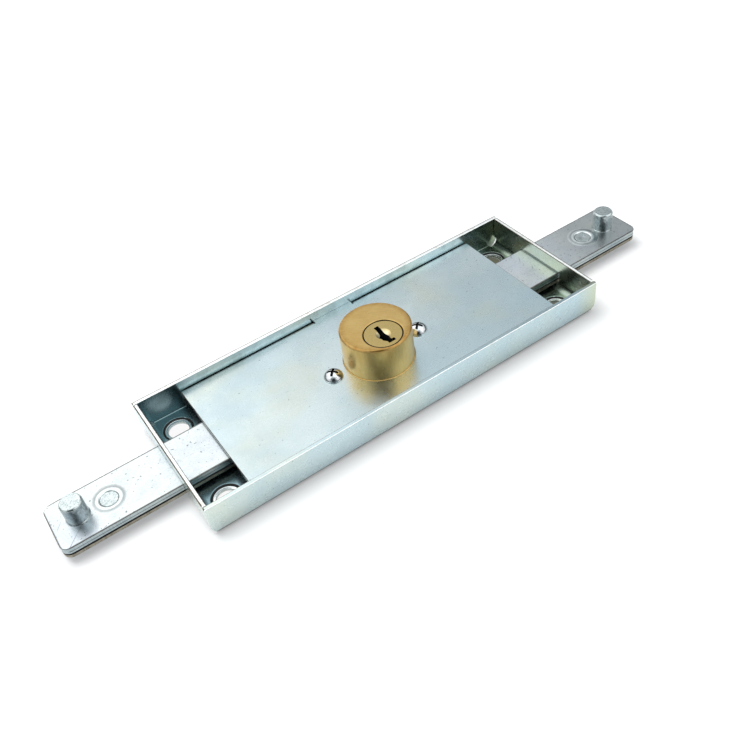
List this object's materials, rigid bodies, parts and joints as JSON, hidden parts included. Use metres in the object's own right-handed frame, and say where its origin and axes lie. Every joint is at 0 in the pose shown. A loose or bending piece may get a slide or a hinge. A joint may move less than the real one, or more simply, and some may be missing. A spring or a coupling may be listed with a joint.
{
  "type": "roller shutter lock",
  "caption": "Central lock for a roller shutter: a folded tray with a key cylinder that draws in opposed laminated bolts.",
  "frame": {"origin": "centre of the flat back of the case, on the face that lies against the shutter", "axes": "+X along the case towards the right bolt, +Z out of the back towards the key"},
  "size_m": [0.2456, 0.0584, 0.0236],
  "materials": {
    "zinc_plated_sheet": "bright zinc plate on folded sheet",
    "zinc_plated_steel": "bright zinc plate on punched and turned steel",
    "satin_brass": "satin, turned",
    "chrome_screw": "polished",
    "spring_steel": "drawn wire"
  },
  "bodies": {
    "lock_case": {"case": "zinc_plated_sheet", "cover": "zinc_plated_sheet", "cylinder_body": "satin_brass", "left_guide_post": "zinc_plated_steel", "right_guide_post": "zinc_plated_steel", "left_cover_screw": "chrome_screw", "right_cover_screw": "chrome_screw", "driver_pin_1": "spring_steel", "driver_pin_2": "spring_steel", "driver_pin_3": "spring_steel", "driver_pin_4": "spring_steel", "driver_pin_5": "spring_steel", "pin_spring_1": "spring_steel", "pin_spring_2": "spring_steel", "pin_spring_3": "spring_steel", "pin_spring_4": "spring_steel", "pin_spring_5": "spring_steel", "chamber_plug_1": "satin_brass", "chamber_plug_2": "satin_brass", "chamber_plug_3": "satin_brass", "chamber_plug_4": "satin_brass", "chamber_plug_5": "satin_brass"},
    "key_plug": {"plug": "satin_brass", "plug_clip": "spring_steel", "pinion": "zinc_plated_steel", "key_pin_1": "satin_brass", "key_pin_2": "satin_brass", "key_pin_3": "satin_brass", "key_pin_4": "satin_brass", "key_pin_5": "satin_brass"},
    "left_bolt": {"left_bolt_top": "zinc_plated_steel", "left_bolt_middle": "zinc_plated_steel", "left_bolt_bottom": "zinc_plated_steel", "left_stud": "zinc_plated_steel", "left_outer_rivet": "zinc_plated_steel", "left_inner_rivet": "zinc_plated_steel"},
    "right_bolt": {"right_bolt_top": "zinc_plated_steel", "right_bolt_middle": "zinc_plated_steel", "right_bolt_bottom": "zinc_plated_steel", "right_stud": "zinc_plated_steel", "right_outer_rivet": "zinc_plated_steel", "right_inner_rivet": "zinc_plated_steel"}
  },
  "joints": [
    {"name": "plug_turn", "type": "hinge", "parent": "lock_case", "child": "key_plug", "pos_m": [0, -0.0093, 0.012], "axis": [0, 0, 1], "range_deg": [0, 360]},
    {"name": "left_bolt_slide", "type": "slide", "parent": "lock_case", "child": "left_bolt", "axis": [1, 0, 0], "range_m": [0, 0.0226]},
    {"name": "right_bolt_slide", "type": "slide", "parent": "lock_case", "child": "right_bolt", "axis": [-1, 0, 0], "range_m": [0, 0.0226]}
  ],
  "couplings": [
    {"joint": "plug_turn", "follows": "left_bolt_slide", "rad_per_m": 277.78},
    {"joint": "right_bolt_slide", "follows": "left_bolt_slide", "ratio": 1}
  ]
}
